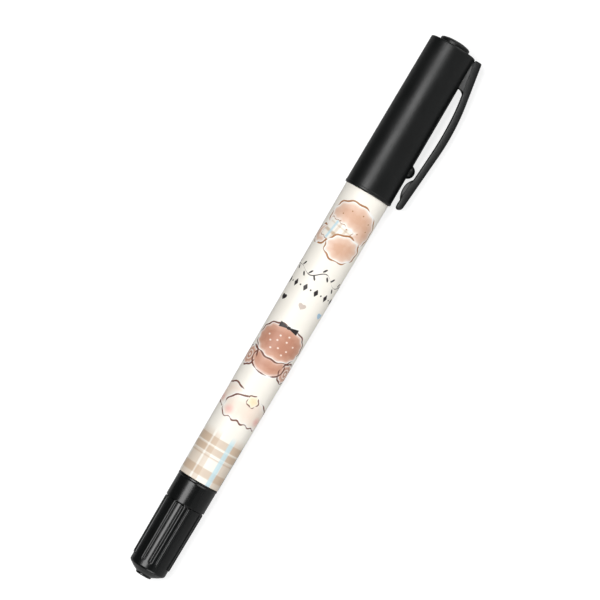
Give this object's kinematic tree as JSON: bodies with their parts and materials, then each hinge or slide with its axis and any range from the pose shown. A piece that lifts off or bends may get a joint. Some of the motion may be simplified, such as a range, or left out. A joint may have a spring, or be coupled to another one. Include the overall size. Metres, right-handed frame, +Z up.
{
  "type": "felt tip marker",
  "caption": "Slim twin-tip felt marker lying on its side: printed cream barrel, large black cap with a pocket clip, small black ribbed cap, bullet nib and extra-fine nib.",
  "frame": {"origin": "centre of the small cap's flat end face, on the pen's axis", "axes": "+X along the pen's axis from the small cap to the crown of the big cap, +Z up from the desk that the pen lies on, the clip pointing towards -Y and a little down, so that its lower edge rests on the desk"},
  "size_m": [0.138, 0.0152, 0.0118],
  "materials": {
    "barrel_plastic": "moulded cream polypropylene, satin",
    "print_film": "heat-transferred printed film, soft gloss",
    "big_cap_plastic": "black polypropylene, fine satin texture",
    "small_cap_plastic": "black polypropylene, moulded gloss",
    "holder_plastic": "natural polypropylene",
    "seal_plastic": "soft natural polyethylene",
    "felt_nib": "pressed polyester fibre soaked in black ink",
    "plastic_nib": "extruded acetal with ink channels",
    "fibre_rod": "bundled polyester fibre soaked in ink",
    "wrap_film": "clear wrapped film"
  },
  "bodies": {
    "barrel": {"barrel_tube": "barrel_plastic", "print_film": "print_film", "ink_reservoir": "fibre_rod", "reservoir_wrap": "wrap_film", "fine_holder": "holder_plastic", "fine_nib": "felt_nib", "extra_fine_holder": "holder_plastic", "extra_fine_nib": "plastic_nib"},
    "big_cap": {"cap_shell": "big_cap_plastic", "cap_inner_seal": "seal_plastic", "crown_plug": "big_cap_plastic"},
    "clip": {"clip_arm": "big_cap_plastic"},
    "small_cap": {"small_cap_shell": "small_cap_plastic", "small_cap_inner_seal": "seal_plastic", "small_cap_end_plug": "small_cap_plastic"}
  },
  "joints": [
    {"name": "big_cap_pull", "type": "slide", "parent": "barrel", "child": "big_cap", "axis": [1, 0, 0], "range_m": [0, 0.03]},
    {"name": "clip_flex", "type": "hinge", "parent": "big_cap", "child": "clip", "pos_m": [0.1273, -0.00711, -0.00368], "axis": [0, -0.4594, 0.8882], "range_deg": [-0.6, 6], "stiffness_Nm_per_rad": 0.05},
    {"name": "small_cap_pull", "type": "slide", "parent": "barrel", "child": "small_cap", "axis": [-1, 0, 0], "range_m": [0, 0.022]}
  ]
}
